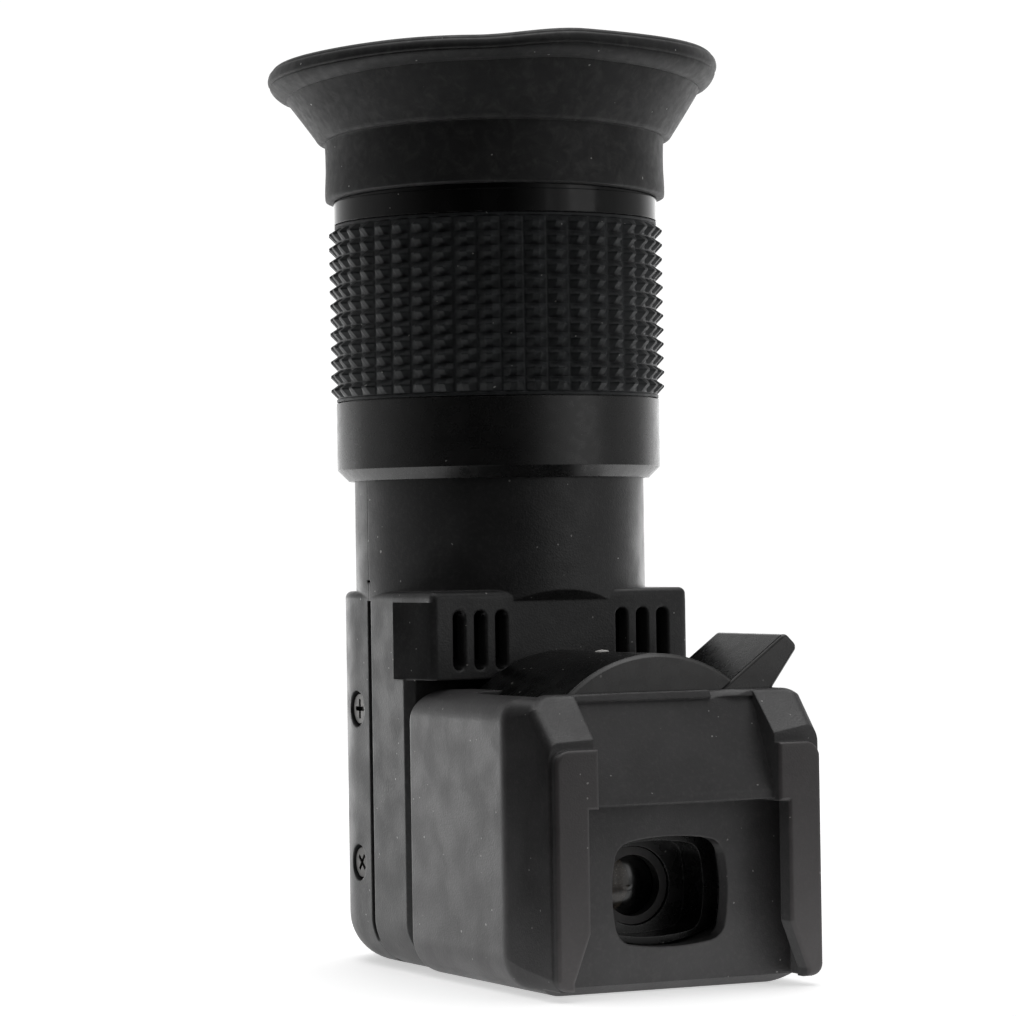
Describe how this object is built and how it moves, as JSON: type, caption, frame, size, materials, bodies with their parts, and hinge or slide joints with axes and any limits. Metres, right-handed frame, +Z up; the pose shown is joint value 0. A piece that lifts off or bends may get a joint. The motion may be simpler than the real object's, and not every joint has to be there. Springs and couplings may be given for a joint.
{
  "type": "right-angle viewfinder attachment",
  "caption": "Right-angle viewfinder attachment with a two-position magnification lever, dioptre ring, knurled rubber grip, rubber eyecup and slide-on eyepiece shoe.",
  "frame": {"origin": "on the surface it stands on, under the middle of its outline", "axes": "+Z up along the eyepiece tube, -Y towards the camera shoe, +X to the right seen from the shoe"},
  "size_m": [0.0398, 0.0544, 0.0796],
  "materials": {
    "housing_plastic": "fine spark-eroded texture",
    "inner_plastic": "matte black",
    "drum_plastic": "satin moulded",
    "gloss_plastic": "polished black",
    "satin_black_metal": "satin black anodised",
    "black_aluminium": "black anodised",
    "black_steel": "black oxide",
    "spring_steel": "bright",
    "optical_glass": "coated optical glass",
    "grip_rubber": "pyramid knurl",
    "eyecup_rubber": "matte, slightly dusty",
    "seal_rubber": "felt-like"
  },
  "bodies": {
    "housing": {"housing_front": "housing_plastic", "housing_rear": "housing_plastic", "housing_screws": "black_steel", "roof_prism": "optical_glass", "prism_holder": "inner_plastic", "prism_clip": "spring_steel", "field_lens": "optical_glass", "relay_tube": "inner_plastic", "relay_lens": "optical_glass", "relay_rings": "black_aluminium", "field_stop": "black_aluminium", "sleeve_seal": "seal_rubber", "changer_housing": "housing_plastic", "changer_back_plate": "inner_plastic", "block_screws": "black_steel", "turret_axle": "spring_steel", "detent_spring": "spring_steel"},
    "click_ball": {"detent_ball": "spring_steel"},
    "turret": {"turret_drum": "drum_plastic", "magnifier_lever": "drum_plastic", "low_power_front_lens": "optical_glass", "low_power_rear_lens": "optical_glass", "high_power_front_lens": "optical_glass", "high_power_rear_lens": "optical_glass", "lens_retaining_rings": "black_aluminium"},
    "barrel": {"ocular_barrel": "black_aluminium", "guide_key": "spring_steel", "ocular_field_lens": "optical_glass", "lens_spacer": "black_aluminium", "eye_lens": "optical_glass", "ocular_retaining_ring": "black_aluminium"},
    "dioptre_ring": {"dioptre_sleeve": "satin_black_metal", "rubber_grip": "grip_rubber", "eyecup_ring": "gloss_plastic", "eyecup": "eyecup_rubber"}
  },
  "joints": [
    {"name": "magnifier_turn", "type": "hinge", "parent": "housing", "child": "turret", "pos_m": [0, -0.012, 0.0155], "axis": [0, -1, 0], "range_deg": [0, 90]},
    {"name": "click_ball_slide", "type": "slide", "parent": "housing", "child": "click_ball", "axis": [0, 1, 0], "range_m": [0, 0.0004], "stiffness_N_per_m": 400, "deforming": ["detent_spring"]},
    {"name": "dioptre_travel", "type": "slide", "parent": "housing", "child": "barrel", "axis": [0, 0, 1], "range_m": [-0.002, 0.003]},
    {"name": "dioptre_turn", "type": "hinge", "parent": "barrel", "child": "dioptre_ring", "pos_m": [0, 0.00732, 0.05], "axis": [0, 0, 1], "range_deg": [-120, 180]}
  ],
  "couplings": [
    {"joint": "dioptre_turn", "follows": "dioptre_travel", "rad_per_m": 1047.2}
  ]
}
